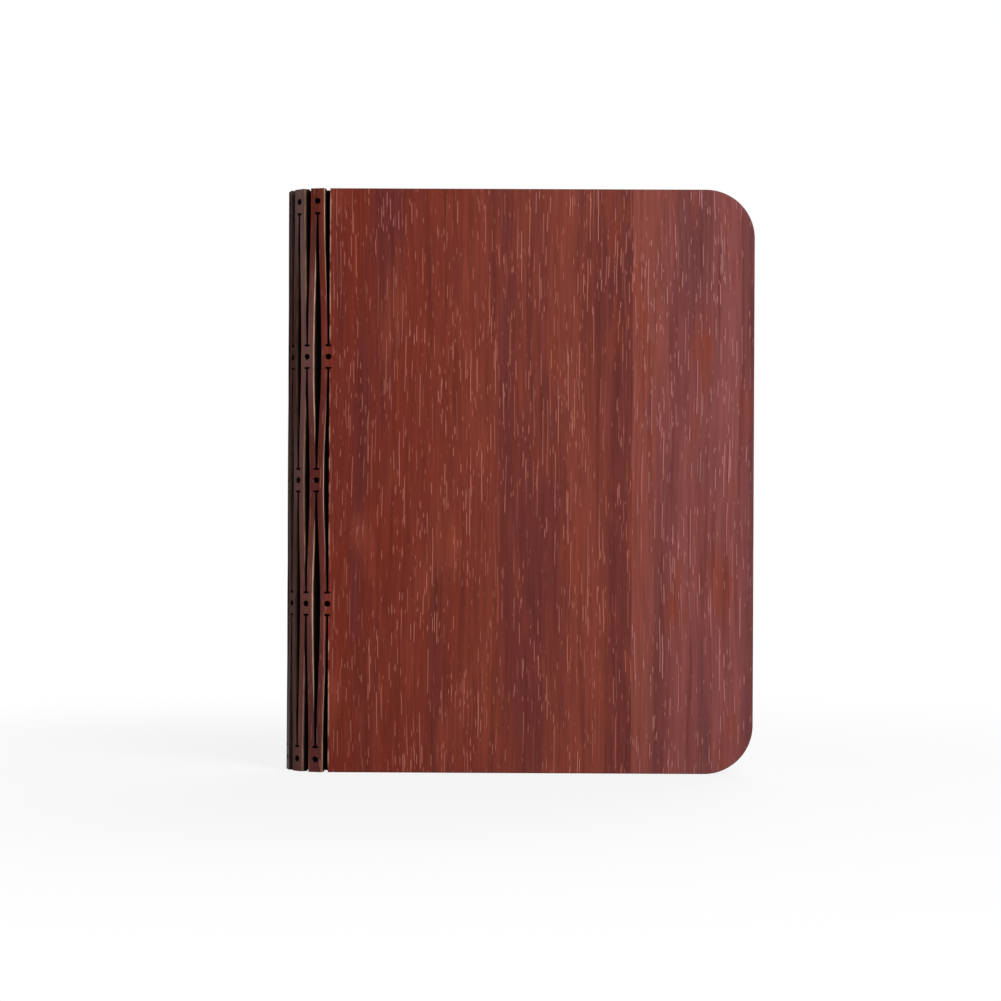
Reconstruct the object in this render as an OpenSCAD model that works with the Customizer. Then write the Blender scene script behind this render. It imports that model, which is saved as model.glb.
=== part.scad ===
// Folding book lamp, closed and standing on its tail edge.
// Two veneered boards are joined by a half-round spine of pierced bending strips.
// Inside are hollow paper leaves, one to each link of the spine, and a lit core.
// Origin: centre of the closed lamp's footprint. +Z is up, the front cover faces -Y,
// the spine is at -X and the fore-edge at +X. All sizes are millimetres.

/* [Covers] */
// Height of the covers
cover_h = 215; // [180:1:280]
// Width of the closed lamp, measured over the spine
closed_w = 172.5; // [140:0.5:220]
// Thickness of the veneered board
board_t = 3; // [2.4:0.1:4]
// Radius of the covers' fore-edge corners
corner_r = 18; // [8:1:40]

/* [Spine lattice] */
// Width of the long slits between two bending strips
slit_w = 1; // [0.3:0.1:1.4]
// Diameter of the hole in each land
land_hole_d = 2; // [1.2:0.1:2.4]
// Length of the cross cut that ends a slit
cross_l = 2.2; // [1:0.1:2.4]
// Width of that cross cut
cross_w = 0.7; // [0.3:0.1:1.2]
// Height above the edge of the outer lands in the even columns
land_inset = 62; // [45:1:75]
// Distance from a land's hole to its cross cuts
land_half = 4.15; // [2.5:0.05:8]
// Distance from the edge to the hole of an end land
end_hole = 4.65; // [3:0.05:6]
// Distance from the edge to the cross cut of an end land
end_land = 9.2; // [8:0.1:14]
// Gap left between two neighbouring links
link_gap = 0.1; // [0.04:0.02:0.3]

/* [Lining] */
// Thickness of the black lining cloth
lining_t = 0.4; // [0.2:0.05:0.8]
// Width of the lining behind one link
lining_w = 2.4; // [1.6:0.1:2.5]
// Reach of the lining across the inside of a cover
lining_reach = 12; // [8:1:30]
// Distance from the cover's edge to the end of the lining
lining_inset = 0.5; // [0.2:0.1:3]

/* [Leaves] */
// Bare margin of the covers above and below the leaves
leaf_margin = 3; // [1:0.5:8]
// Bare margin of the covers beyond the leaves' fore-edge
fore_margin = 3; // [1:0.5:8]
// Thickness of one paper sheet
paper_t = 0.25; // [0.15:0.05:0.4]
// Width of the glued hem round a leaf
hem_w = 4; // [2:0.5:8]
// Gap between two closed leaves
leaf_gap = 0.3; // [0.2:0.05:0.5]
// Thickness of the paper glued inside a cover
endpaper_t = 0.3; // [0.2:0.05:0.6]
// Distance from the front of the core to the leaves
leaf_clear = 4; // [3:0.5:10]

/* [Core] */
// Diameter of the battery cell
cell_d = 21; // [16:0.1:22]
// Length of the battery cell
cell_l = 70; // [48:1:80]
// Radial gap round the cell
cell_gap = 0.15; // [0.1:0.05:0.5]
// Wall of the core's tray and diffuser
core_wall = 1; // [0.8:0.1:1.6]
// Gap between the core and the lining
core_gap = 0.45; // [0.2:0.05:1]
// Distance from the covers' ends to the core's ends
core_inset = 5; // [3:0.5:12]
// Thickness of the core's end caps
cap_t = 1.5; // [1:0.1:3]
// Radius of the diffuser's front corners
nose_r = 4; // [2.5:0.1:6]
// Depth of the lap joint between tray and diffuser
lap = 1.6; // [1:0.1:3]
// Thickness of the foam pads at the cell's ends
pad_t = 2; // [1:0.5:4]

/* [Light] */
// Thickness of the channel behind the light board
carrier_t = 0.8; // [0.5:0.1:1.5]
// Thickness of the light board
led_board_t = 1; // [0.6:0.1:1.6]
// Width of the light board
led_board_w = 10; // [6:0.5:12]
// Height of a light chip
led_h = 0.7; // [0.5:0.1:1.2]
// Width of a light chip
led_w = 2.8; // [2:0.1:3.5]
// Length of a light chip
led_l = 3.5; // [2:0.1:5]
// Number of light chips
led_count = 24; // [8:1:36]
// Gap from the chips to the diffuser
glow_gap = 1.25; // [0.5:0.05:4]

/* [Electronics] */
// Length of the control board
board_l = 40; // [34:1:44]
// Thickness of the control board
pcb_t = 1; // [0.8:0.1:1.6]
// Width of the charging socket's shell
usb_w = 8.94; // [7.5:0.01:9.5]
// Thickness of the charging socket's shell
usb_t = 3.16; // [2.4:0.01:3.3]
// Depth of the charging socket
usb_l = 7.35; // [5:0.05:9]
// Diameter of the light pipe
pipe_d = 1.6; // [1:0.1:2]
// Diameter of the leads
lead_d = 1; // [0.6:0.1:1.1]

/* [Fasteners and magnets] */
// Diameter of a screw's threaded shank
screw_d = 1.6; // [1.4:0.1:2]
// Diameter of a screw's head
head_d = 3.4; // [2.8:0.1:4]
// Height of a screw's head
head_h = 1.2; // [0.8:0.1:1.6]
// Length of a screw under its head
screw_l = 7; // [5:0.5:9]
// Diameter of a fore-edge magnet
magnet_d = 8; // [5:0.5:10]
// Thickness of every magnet
magnet_t = 1.5; // [1:0.1:1.6]
// Diameter of the magnet that works the switch
switch_d = 5; // [3:0.5:6]
// Distance from the fore-edge to the magnets' centres
magnet_inset = 11; // [8:0.5:20]
// Height of the magnets' centres from the covers' ends
magnet_z = 38; // [30:1:70]

/* [Hidden] */
// Each strip of the spine is one hinge line. An even number puts one link in the middle.
hinges = 12;
links = hinges - 1;
step = 180 / hinges;
// Travel of one hinge: flat at step, and fore-edges together at the end
open_deg = 30.68;
bevel_spare = 0.2;
bevel_deg = max(step, open_deg - step) / 2 + bevel_spare;

core_r = core_wall + cell_gap + cell_d / 2;
lining_r = core_r + core_gap;
inner_r = lining_r + lining_t;
mid_r = inner_r + board_t / 2;
spine_r = inner_r + board_t;
reach = closed_w - spine_r;
spine_x = spine_r - closed_w / 2;
pitch = 2 * mid_r * tan(step / 2);
link_half = (pitch - link_gap) / 2;
bevel = board_t / 2 * tan(bevel_deg);

leaf_top = cover_h - leaf_margin;
leaf_out = reach - fore_margin;
leaf_corner = max(corner_r - min(leaf_margin, fore_margin), 1);
leaf_slot = 2 * (inner_r - endpaper_t) / links;
leaf_t = leaf_slot - leaf_gap;
endpaper_in = lining_reach + 0.5;

carrier_x = cell_d / 2 + 0.1;
led_board_x = carrier_x + carrier_t;
led_x = led_board_x + led_board_t;
core_nose = led_x + led_h + glow_gap + core_wall;
leaf_in = core_nose + leaf_clear;
core_low = core_inset;
core_high = cover_h - core_inset;
tube_low = core_low + cap_t;
tube_high = core_high - cap_t;
split_x = 2;
fit_gap = 0.05;
slip_gap = 0.1;

// Screw posts stand in the tray's two rear corners
post_d = screw_d + 2.8;
post_l = screw_l + 2;
post_angle = 40;
post_reach = core_r - core_wall - post_d / 2 + 0.3;
post_x = -post_reach * cos(post_angle);
post_y = post_reach * sin(post_angle);

pcb_x = post_x + post_d / 2 + 0.25;
pcb_front = pcb_x + pcb_t;
pcb_w = 2 * (sqrt(pow(core_r - core_wall, 2) - pow(pcb_x, 2)) - 0.5);
pcb_low = tube_low + 0.3;
pcb_high = pcb_low + board_l;
pcb_screw_z = [pcb_low + 14, pcb_low + 30];
usb_x = pcb_front + usb_t / 2;
usb_low = core_low + 0.2;
usb_gap = 0.2;
pipe_x = pcb_front + pipe_d / 2 + 0.1;
pipe_y = usb_w / 2 + usb_gap + pipe_d / 2 + 0.6;
sensor_z = pcb_low + 23;
switch_x = 5;

// Connectors for the leads, on the control board's front
plug_w = 4.5;
plug_l = 4;
plug_h = 2.4;
plug_front = pcb_front + plug_h;
plug_z = pcb_high - 3;
led_plug_y = -3.6;
cell_plug_y = 3.6;
// Each component: distance across, height above the board's lower end, width, length, thickness
components = [
    [pipe_y, 4.2, 1.6, 1.2, 0.8],
    [-4.6, 14, 4, 4, 1],
    [4.6, 14.5, 5, 5, 2.2],
    [4.6, 21.5, 3.2, 2.5, 1],
    [0.4, 21.5, 1.6, 3.2, 1],
    [-1.5, 26, 2, 1.2, 0.8]
];

pad_low = pcb_high + 3;
cell_low = pad_low + pad_t;
cell_high = cell_low + cell_l;
lead_hole_d = 2 * lead_d + 1.2;
lead_hole_z = pcb_high - 6;
wire_sides = 8;
wire_skew = [0.3, 0.9, 0.2];
// Positive lead, from the connector round the cell's shoulder to its far end
lead_y = 7.2;
lead_spread = 0.65 * lead_d;
lead_x = sqrt(pow(cell_d / 2 + lead_d / 2 + 0.1, 2) - pow(lead_y, 2));

wood = [0.47, 0.24, 0.21];
cloth = [0.07, 0.06, 0.06];
paper = [0.95, 0.94, 0.90];
shell = [0.93, 0.93, 0.91];
milky = [0.97, 0.96, 0.92];
metal = [0.75, 0.76, 0.78];
board_green = [0.12, 0.33, 0.22];

function numbered(name, k) = str(name, "_", k < 10 ? "0" : "", k);

// ---- Shared shapes ----

// Moves from the spine's centre line to the lamp's origin
module at_spine() {
    translate([spine_x, 0, 0]) children();
}

// Turns a shape drawn for the front cover's column to where column k stands
module at_link(k) {
    at_spine() rotate([0, 0, -step * k]) children();
}

// Outline in width and height, square at the spine side and round at the fore-edge
module sheet_outline(x0, x1, z0, z1, r) {
    translate([x0, z0]) square([x1 - x0 - r, z1 - z0]);
    translate([x0, z0 + r]) square([x1 - x0, z1 - z0 - 2 * r]);
    for (z = [z0 + r, z1 - r])
        translate([x1 - r, z]) circle(r = r, $fn = 96);
}

// The same outline as a sheet of thickness t whose rear face is at y
module sheet(y, t, x0, x1, z0, z1, r) {
    translate([0, y, 0]) rotate([90, 0, 0]) linear_extrude(t) sheet_outline(x0, x1, z0, z1, r);
}

// Section of one link: widest at mid-thickness, so that neighbours can roll both ways
module link_section(right) {
    polygon([
        [-link_half, -mid_r],
        [bevel - link_half, -spine_r],
        [right - (right > link_half ? 0 : bevel), -spine_r],
        [right, -mid_r],
        [right - (right > link_half ? 0 : bevel), -inner_r],
        [bevel - link_half, -inner_r]
    ]);
}

// Even columns have lands near the quarter heights, odd ones at the middle and the ends
function is_even(k) = k % 2 == 0;
function land_holes(k) = is_even(k)
    ? [land_inset, cover_h - land_inset]
    : [end_hole, cover_h / 2, cover_h - end_hole];
function slit_spans(k) = is_even(k)
    ? [[-1, land_inset - land_half],
       [land_inset + land_half, cover_h - land_inset - land_half],
       [cover_h - land_inset + land_half, cover_h + 1]]
    : [[end_land, cover_h / 2 - land_half],
       [cover_h / 2 + land_half, cover_h - end_land]];

// Slits, cross cuts and holes of column k, drawn at the front cover's column
module column_cuts(k) {
    for (span = slit_spans(k)) {
        translate([-slit_w / 2, -spine_r - 1, span[0]])
            cube([slit_w, board_t + 2, span[1] - span[0]]);
        for (z = span)
            if (z > 0 && z < cover_h)
                translate([-cross_l / 2, -spine_r - 1, z - cross_w / 2])
                    cube([cross_l, board_t + 2, cross_w]);
    }
    for (z = land_holes(k))
        translate([0, -mid_r, z]) rotate([90, 0, 0])
            cylinder(d = land_hole_d, h = board_t + 2, center = true, $fn = 32);
}

// A disc let into the front cover's inner face
module inner_disc(x, z, d, deep, t) {
    translate([x, deep - inner_r, z]) rotate([90, 0, 0]) cylinder(d = d, h = t, $fn = 48);
}

// ---- Covers, spine and lining ----

module cover() {
    color(wood) difference() {
        union() {
            sheet(-inner_r, board_t, 0, reach, 0, cover_h, corner_r);
            linear_extrude(cover_h) link_section(link_half + 1);
        }
        column_cuts(0);
        magnet_pockets();
    }
}

module magnet_pockets() {
    for (z = [magnet_z, cover_h - magnet_z])
        inner_disc(reach - magnet_inset, z, magnet_d + 2 * slip_gap, 1, magnet_t + 1 + slip_gap);
}

module front_cover() {
    at_spine() difference() {
        cover();
        color(wood) inner_disc(switch_x, sensor_z, switch_d + 2 * slip_gap, 1, magnet_t + 1 + slip_gap);
    }
}

module back_cover() {
    at_spine() mirror([0, 1, 0]) cover();
}

module spine_link(k) {
    at_link(k) color(wood * (1 - 0.03 * (links - abs(2 * k - links - 1)))) difference() {
        linear_extrude(cover_h) link_section(link_half);
        column_cuts(k);
    }
}

module spine_lining(k) {
    at_link(k) color(cloth)
        translate([-lining_w / 2, -inner_r, lining_inset])
            cube([lining_w, lining_t, cover_h - 2 * lining_inset]);
}

module cover_lining() {
    color(cloth)
        translate([-lining_w / 2, -inner_r, lining_inset])
            cube([lining_reach + lining_w / 2, lining_t, cover_h - 2 * lining_inset]);
}

module front_cover_lining() {
    at_spine() cover_lining();
}

module back_cover_lining() {
    at_spine() mirror([0, 1, 0]) cover_lining();
}

// ---- Paper ----

module endpaper() {
    color(paper)
        sheet(endpaper_t - inner_r, endpaper_t, endpaper_in, leaf_out, leaf_margin, leaf_top, leaf_corner);
}

module front_endpaper() {
    at_spine() endpaper();
}

module back_endpaper() {
    at_spine() mirror([0, 1, 0]) endpaper();
}

// Two sheets glued along head, tail and fore-edge, and open towards the core
module leaf(k) {
    y = (k - (links + 1) / 2) * leaf_slot;
    glue = 2 * paper_t;
    bulge_r = max(leaf_corner - hem_w, 0.5);
    inner_hem = hem_w + paper_t;
    at_spine() color(paper) difference() {
        union() {
            sheet(y + glue / 2, glue, leaf_in, leaf_out, leaf_margin, leaf_top, leaf_corner);
            sheet(y + leaf_t / 2, leaf_t, leaf_in, leaf_out - hem_w,
                leaf_margin + hem_w, leaf_top - hem_w, bulge_r);
        }
        sheet(y + leaf_t / 2 - paper_t, leaf_t - glue, leaf_in - 1, leaf_out - inner_hem,
            leaf_margin + inner_hem, leaf_top - inner_hem, max(bulge_r - paper_t, 0.25));
    }
}

// ---- Core housing ----

// Outline of the core, drawn in by inset: round at the spine, blunt at the front
module core_outline(inset) {
    r = core_r - inset;
    nose = core_nose - inset;
    corner = nose_r - inset;
    circle(r = r, $fn = 96);
    translate([0, -r]) square([nose - corner, 2 * r]);
    translate([0, corner - r]) square([nose, 2 * (r - corner)]);
    for (side = [-1, 1])
        translate([nose - corner, side * (r - corner)]) circle(r = corner, $fn = 48);
}

module core_ring(outer, inner) {
    difference() {
        core_outline(outer);
        core_outline(inner);
    }
}

// Keeps what lies between two distances from the cell's axis
module slab_x(x0, x1) {
    translate([x0, -2 * core_r]) square([x1 - x0, 4 * core_r]);
}

module core_tray() {
    at_spine() color(shell) difference() {
        union() {
            translate([0, 0, tube_low]) linear_extrude(tube_high - tube_low) {
                intersection() {
                    core_ring(0, core_wall);
                    slab_x(-2 * core_r, split_x - lap - fit_gap);
                }
                intersection() {
                    core_ring(core_wall / 2 + fit_gap, core_wall);
                    slab_x(0, split_x - fit_gap);
                }
            }
            spine_pad();
            screw_posts();
            board_posts();
        }
        for (side = [-1, 1], z = [tube_low - 1, tube_high - post_l + 1])
            translate([post_x, side * post_y, z])
                cylinder(d = screw_d + 2 * fit_gap, h = post_l, $fn = 32);
        for (z = pcb_screw_z)
            translate([pcb_x + 1 - screw_l, 0, z]) rotate([0, 90, 0])
                cylinder(d = screw_d + 2 * fit_gap, h = screw_l, $fn = 32);
    }
}

// Flat back of the tray, glued to the middle link's lining
module spine_pad() {
    translate([-lining_r, -lining_w / 2 + 0.1, tube_low + 5])
        cube([core_gap + core_wall / 2, lining_w - 0.2, tube_high - tube_low - 10]);
}

module screw_posts() {
    for (side = [-1, 1], z = [tube_low, tube_high - post_l])
        translate([post_x, side * post_y, z]) cylinder(d = post_d, h = post_l, $fn = 48);
}

module board_posts() {
    for (z = pcb_screw_z)
        translate([-core_r + core_wall / 2, 0, z]) rotate([0, 90, 0])
            cylinder(d = post_d, h = core_r - core_wall / 2 + pcb_x, $fn = 48);
}

module diffuser() {
    at_spine() color(milky) translate([0, 0, tube_low]) linear_extrude(tube_high - tube_low) {
        intersection() {
            core_ring(0, core_wall);
            slab_x(split_x, 2 * core_nose);
        }
        intersection() {
            core_ring(0, core_wall / 2);
            slab_x(split_x - lap, split_x + 0.5);
        }
    }
}

// Plate that closes one end of the core, with its two screw holes
module end_cap(z) {
    difference() {
        translate([0, 0, z]) linear_extrude(cap_t) core_outline(0);
        for (side = [-1, 1])
            translate([post_x, side * post_y, z - 1])
                cylinder(d = screw_d + 0.6, h = cap_t + 2, $fn = 32);
    }
}

module top_end_cap() {
    at_spine() color(shell) end_cap(tube_high);
}

module bottom_end_cap() {
    at_spine() color(shell) difference() {
        end_cap(core_low);
        translate([usb_x, 0, core_low - 1]) linear_extrude(cap_t + 2)
            usb_outline(usb_w + 2 * usb_gap, usb_t + 2 * usb_gap);
        translate([pipe_x, pipe_y, core_low - 1])
            cylinder(d = pipe_d + 2 * slip_gap, h = cap_t + 2, $fn = 32);
    }
}

module screw() {
    cylinder(d = head_d, h = head_h, $fn = 32);
    translate([0, 0, -screw_l]) cylinder(d = screw_d, h = screw_l + 0.1, $fn = 32);
}

module core_screws() {
    at_spine() color(metal) {
        for (side = [-1, 1]) {
            translate([post_x, side * post_y, core_high]) screw();
            translate([post_x, side * post_y, core_low]) mirror([0, 0, 1]) screw();
        }
        for (z = pcb_screw_z)
            translate([pcb_front, 0, z]) rotate([0, 90, 0]) screw();
    }
}

// ---- Light ----

module led_carrier() {
    half = core_r - core_wall - slip_gap;
    flange_x = sqrt(pow(cell_d / 2, 2) - pow(half - carrier_t, 2)) + 0.6;
    at_spine() color(metal) difference() {
        translate([0, 0, tube_low + fit_gap]) linear_extrude(tube_high - tube_low - 2 * fit_gap)
            intersection() {
                core_outline(core_wall + slip_gap);
                union() {
                    translate([carrier_x, -half]) square([carrier_t, 2 * half]);
                    for (y = [-half, half - carrier_t])
                        translate([flange_x, y]) square([carrier_x - flange_x + fit_gap, carrier_t]);
                }
            }
        translate([carrier_x - 1, 0, lead_hole_z]) rotate([0, 90, 0])
            cylinder(d = lead_hole_d, h = carrier_t + 2, $fn = 32);
    }
}

module led_board() {
    at_spine() color(shell) difference() {
        translate([led_board_x, -led_board_w / 2, tube_low + 0.5])
            cube([led_board_t, led_board_w, tube_high - tube_low - 1]);
        translate([led_board_x - 1, 0, lead_hole_z]) rotate([0, 90, 0])
            cylinder(d = lead_hole_d, h = led_board_t + 2, $fn = 32);
    }
}

// Chips in two staggered columns, clear of the lead hole
module led_chips() {
    first = tube_low + 6;
    spacing = (tube_high - 6 - led_l - first) / (led_count - 1);
    column = led_board_w / 2 - led_w - 0.3;
    at_spine() color([0.98, 0.90, 0.55])
        for (i = [0:led_count - 1])
            translate([led_x, i % 2 == 0 ? column : -column - led_w, first + spacing * i])
                cube([led_h, led_w, led_l]);
}

// ---- Wires ----

function unit(v) = v / norm(v);
function tangent(route, i) = unit(route[min(i + 1, len(route) - 1)] - route[max(i - 1, 0)]);
function wire_ring(route, i) =
    let (t = tangent(route, i), u = unit(cross(t, wire_skew)), v = cross(t, u))
    [for (s = [0:wire_sides - 1])
        route[i] + lead_d / 2 * (cos(360 * s / wire_sides) * u + sin(360 * s / wire_sides) * v)];

// Round wire along a route of points
module wire(route) {
    last = wire_sides * (len(route) - 1);
    sides = [for (i = [0:len(route) - 2], s = [0:wire_sides - 1])
        let (a = wire_sides * i + s, b = wire_sides * i + (s + 1) % wire_sides)
        [a, b, b + wire_sides, a + wire_sides]];
    polyhedron(
        points = [for (i = [0:len(route) - 1]) each wire_ring(route, i)],
        faces = concat(
            [for (f = sides) [f[2], f[1], f[0]]],
            [for (f = sides) [f[3], f[2], f[0]]],
            [for (s = [1:wire_sides - 2]) [0, s, s + 1]],
            [for (s = [1:wire_sides - 2]) [last, last + s + 1, last + s]]
        )
    );
}

// Two leads from the control board's connector through the carrier to the light board
module led_leads() {
    at_spine() color([0.8, 0.1, 0.1])
        for (side = [-1, 1])
            wire([
                [plug_front, led_plug_y + side * lead_spread, plug_z],
                [plug_front + 1.5, led_plug_y + side * lead_spread, plug_z],
                [plug_front + 4, led_plug_y / 2 + side * lead_spread, (plug_z + lead_hole_z) / 2],
                [carrier_x - 2, side * lead_spread, lead_hole_z],
                [led_x + 0.4, side * lead_spread, lead_hole_z]
            ]);
}

// Positive lead along the cell's shoulder, negative lead straight to the near end
module battery_leads() {
    at_spine() color([0.1, 0.1, 0.1]) {
        wire([
            [plug_front, cell_plug_y - lead_spread, plug_z],
            [plug_front + 2, cell_plug_y - lead_spread, plug_z],
            [plug_front + 2.5, cell_plug_y - lead_spread, plug_z + 3],
            [2, 2, pad_low - 1.5],
            [2, 2, cell_low - 0.05]
        ]);
        wire([
            [plug_front, cell_plug_y + lead_spread, plug_z],
            [plug_front + 2, cell_plug_y + lead_spread, plug_z],
            [lead_x - 1, lead_y - 0.3, plug_z + 3],
            [lead_x, lead_y, pad_low],
            [lead_x, lead_y, cell_high],
            [lead_x, lead_y, cell_high + pad_t + 2],
            [lead_x - 2, lead_y - 3, cell_high + pad_t + 3],
            [2, 2, cell_high + pad_t + 2],
            [2, 2, cell_high + 0.05]
        ]);
    }
}

// ---- Battery ----

module battery_cell() {
    at_spine() color([0.15, 0.35, 0.55]) translate([0, 0, cell_low])
        cylinder(d = cell_d, h = cell_l, $fn = 96);
}

// Foam rings at both ends of the cell, with a hole for the lead
module battery_pads() {
    at_spine() color([0.2, 0.2, 0.2])
        for (z = [pad_low, cell_high])
            translate([0, 0, z]) difference() {
                cylinder(d = cell_d - 0.3, h = pad_t, $fn = 96);
                translate([2, 2, -1]) cylinder(d = lead_d + 0.6, h = pad_t + 2, $fn = 32);
            }
}

// ---- Control board ----

module control_board() {
    at_spine() color(board_green) difference() {
        translate([pcb_x, -pcb_w / 2, pcb_low]) cube([pcb_t, pcb_w, board_l]);
        for (z = pcb_screw_z)
            translate([pcb_x - 1, 0, z]) rotate([0, 90, 0])
                cylinder(d = screw_d + 0.6, h = pcb_t + 2, $fn = 32);
    }
}

// Charging light, chip, coil and capacitors, then the two lead connectors
module board_components() {
    at_spine() color([0.12, 0.12, 0.13]) {
        for (c = components)
            translate([pcb_front, c[0] - c[2] / 2, pcb_low + c[1] - c[3] / 2]) cube([c[4], c[2], c[3]]);
        for (y = [led_plug_y, cell_plug_y])
            translate([pcb_front, y - plug_w / 2, plug_z - plug_l / 2]) cube([plug_h, plug_w, plug_l]);
    }
}

module usb_outline(w, t) {
    square([t, w - t], center = true);
    for (side = [-1, 1])
        translate([0, side * (w - t) / 2]) circle(d = t, $fn = 48);
}

// Hollow metal shell with the contact tongue inside
module usb_socket() {
    wall = 0.3;
    back = 1;
    at_spine() color(metal) translate([usb_x, 0, usb_low]) {
        difference() {
            linear_extrude(usb_l) usb_outline(usb_w, usb_t);
            translate([0, 0, -1]) linear_extrude(usb_l + 1 - back)
                usb_outline(usb_w - 2 * wall, usb_t - 2 * wall);
        }
        translate([-0.35, -usb_w / 2 + 1.2, 1]) cube([0.7, usb_w - 2.4, usb_l - 1.5]);
    }
}

module hall_sensor() {
    at_spine() color([0.1, 0.1, 0.1])
        translate([pcb_front, -pcb_w / 2 + 0.3, sensor_z - 1.5]) cube([1.1, 1.8, 3]);
}

// Clear rod that shows the charging light at the tail end
module light_pipe() {
    at_spine() color([0.85, 0.92, 0.85])
        translate([pipe_x, pipe_y, core_low]) cylinder(d = pipe_d, h = 5, $fn = 32);
}

// ---- Magnets ----

module cover_magnets() {
    color(metal) for (z = [magnet_z, cover_h - magnet_z])
        inner_disc(reach - magnet_inset, z, magnet_d, -slip_gap, magnet_t);
}

module front_magnets() {
    at_spine() cover_magnets();
}

module back_magnets() {
    at_spine() mirror([0, 1, 0]) cover_magnets();
}

module switch_magnet() {
    at_spine() color(metal) inner_disc(switch_x, sensor_z, switch_d, -slip_gap, magnet_t);
}

// ---- Nodes ----

front_cover();
back_cover();
front_endpaper();
back_endpaper();
front_cover_lining();
back_cover_lining();
for (k = [1:links]) {
    spine_link(k);
    spine_lining(k);
    leaf(k);
}
core_tray();
diffuser();
top_end_cap();
bottom_end_cap();
core_screws();
led_carrier();
led_board();
led_chips();
led_leads();
battery_cell();
battery_pads();
battery_leads();
control_board();
board_components();
usb_socket();
hall_sensor();
light_pipe();
front_magnets();
back_magnets();
switch_magnet();
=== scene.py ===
"""Folding book lamp, closed and standing on its tail edge, dressed round its CAD frame.

The frame gives the covers' size and the spine's radius. Everything that bends is built
here: the twelve thin strips of the spine, the black cloth behind them and the pleated
leaves. So are the core's screws and the cell's foam pads. The rest of the core keeps its CAD
solids and gets materials.
"""

import math

import bpy
import numpy as np
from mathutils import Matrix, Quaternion, Vector

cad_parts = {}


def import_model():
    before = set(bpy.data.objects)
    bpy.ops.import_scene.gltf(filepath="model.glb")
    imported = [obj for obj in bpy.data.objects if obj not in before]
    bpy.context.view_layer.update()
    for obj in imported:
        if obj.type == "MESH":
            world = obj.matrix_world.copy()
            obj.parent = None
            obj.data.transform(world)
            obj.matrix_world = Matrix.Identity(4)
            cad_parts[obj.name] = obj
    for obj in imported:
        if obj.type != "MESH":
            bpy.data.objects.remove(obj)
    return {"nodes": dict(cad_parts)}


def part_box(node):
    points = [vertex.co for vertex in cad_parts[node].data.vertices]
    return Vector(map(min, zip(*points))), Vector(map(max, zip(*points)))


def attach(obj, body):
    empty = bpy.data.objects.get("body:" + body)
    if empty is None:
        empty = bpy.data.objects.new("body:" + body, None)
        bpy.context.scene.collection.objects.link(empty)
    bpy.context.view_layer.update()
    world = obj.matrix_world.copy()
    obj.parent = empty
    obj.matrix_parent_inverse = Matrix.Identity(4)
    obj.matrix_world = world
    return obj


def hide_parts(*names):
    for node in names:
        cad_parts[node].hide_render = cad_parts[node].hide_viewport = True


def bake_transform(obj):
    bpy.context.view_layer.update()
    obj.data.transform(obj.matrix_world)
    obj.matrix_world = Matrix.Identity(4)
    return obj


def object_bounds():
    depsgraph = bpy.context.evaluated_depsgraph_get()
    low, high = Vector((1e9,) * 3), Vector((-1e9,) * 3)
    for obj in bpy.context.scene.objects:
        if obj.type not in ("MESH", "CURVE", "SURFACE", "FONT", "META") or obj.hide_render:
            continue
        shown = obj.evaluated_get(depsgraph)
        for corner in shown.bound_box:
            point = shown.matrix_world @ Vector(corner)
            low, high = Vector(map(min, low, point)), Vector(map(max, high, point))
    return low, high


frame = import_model()
cad_low, cad_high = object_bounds()

MM = 0.001

# ---- Sizes that follow the frame ----

HEIGHT = cad_high.z
FORE_X = cad_high.x
SPINE_R = cad_high.y
SPINE_X = cad_low.x + SPINE_R
INNER_R = -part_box("front_endpaper")[0].y
BOARD = SPINE_R - INNER_R
MID_R = SPINE_R - BOARD / 2
HINGES = 12
STEP = math.pi / HINGES
HALF_PITCH = MID_R * math.tan(STEP / 2)
HINGE_R = MID_R / math.cos(STEP / 2)

# ---- Lattice of the spine, as the CAD has it ----

CORNER_R = 18 * MM
LAND_HALF = 4.15 * MM
LAND_INSET = 62 * MM
END_HOLE = 4.65 * MM
END_LAND = 9.2 * MM
HOLE_R = 1.12 * MM
CROSS_HALF = 1.1 * MM
CROSS_W = 0.8 * MM
# The strips are narrower than the pitch, so that each slit closes to a kerf beside its own land
STRIP_W = 2.2 * MM
KERF = 0.8 * MM
# The column of lands on each cover starts a little way up the flat board
COVER_SHIFT = 0.32 * MM
# The sides of the cuts are pale down to here: partly the raw wood and partly a painted highlight
PALE_DEPTH = 1.0 * MM
# How far a strip sways to either side between the lands of its two columns
MEANDER = HALF_PITCH - KERF / 2 - STRIP_W / 2
# Height over which a strip's width steps at a cross cut
STEP_RAMP = 0.02 * MM
# How much a strip's edges are eased, at a slit and where they meet the next strip
EASED = 0.08 * MM
CLOSED_EDGE = 0.004 * MM
# Cross-sections between two edges of lands, and steps round half a hole
RAMP_ROWS = 14
HOLE_ROWS = 12

# Lowest height, highest height and hole of each land, in the even and the odd columns
EVEN_LANDS = [(z - LAND_HALF, z + LAND_HALF, z) for z in (LAND_INSET, HEIGHT - LAND_INSET)]
ODD_LANDS = [
    (-END_LAND, END_LAND, END_HOLE),
    (HEIGHT / 2 - LAND_HALF, HEIGHT / 2 + LAND_HALF, HEIGHT / 2),
    (HEIGHT - END_LAND, HEIGHT + END_LAND, HEIGHT - END_HOLE),
]


def lands(column):
    return EVEN_LANDS if column % 2 == 0 else ODD_LANDS


def share_of(column, z):
    """How far the strips at height z belong to a column: 1 at its lands, 0 at those of the next."""
    levels = [(end, 0.0) for low, high, _ in EVEN_LANDS for end in (low, high)]
    levels += [(end, 1.0) for low, high, _ in ODD_LANDS for end in (low, high)]
    heights, shares = zip(*sorted(levels))
    odd_share = np.interp(z, heights, shares)
    return odd_share if column % 2 else 1 - odd_share


def smooth(t):
    """Eases t from 0 to 1, and keeps it inside."""
    t = np.clip(t, 0, 1)
    return t * t * (3 - 2 * t)


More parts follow.
